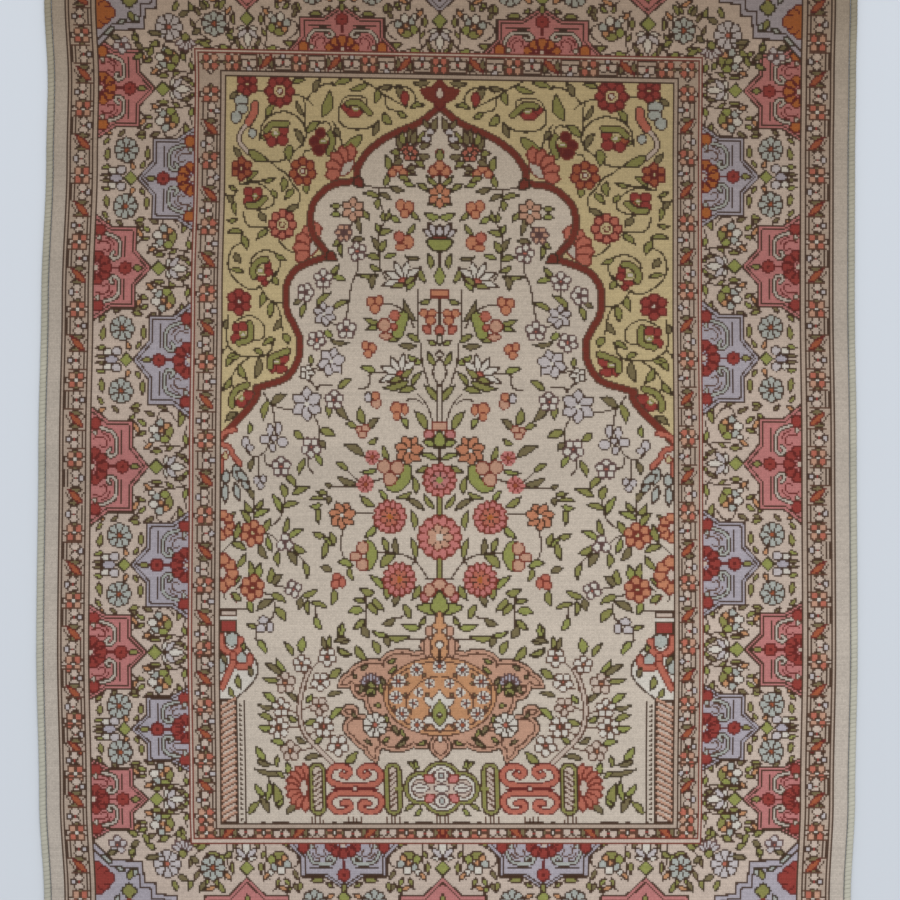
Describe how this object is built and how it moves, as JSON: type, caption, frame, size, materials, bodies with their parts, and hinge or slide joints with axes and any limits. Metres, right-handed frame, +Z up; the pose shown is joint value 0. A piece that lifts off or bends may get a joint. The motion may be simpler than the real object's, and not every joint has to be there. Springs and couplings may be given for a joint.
{
  "type": "hereke silk rug",
  "caption": "Small flat hand-knotted silk prayer rug with a niche, vase and flowering tree, patterned borders, overcast sides and short warp fringes.",
  "frame": {"origin": "middle of the rug's outline, on the surface that it lies on", "axes": "+X across the rug to the right, +Y along the rug towards the arch end, +Z up through the pile"},
  "size_m": [0.604, 0.8846, 0.0034],
  "materials": {
    "silk_pile": "clipped silk pile, soft sheen, ivory field with red, pink, lavender, olive and orange motifs",
    "silk_overcast": "pale silk wound round the edge warps",
    "silk_warp": "undyed twisted silk"
  },
  "bodies": {
    "root": {"rug_body": "silk_pile", "selvedge_left": "silk_overcast", "selvedge_right": "silk_overcast", "fringe_top": "silk_warp", "fringe_bottom": "silk_warp"}
  },
  "joints": []
}
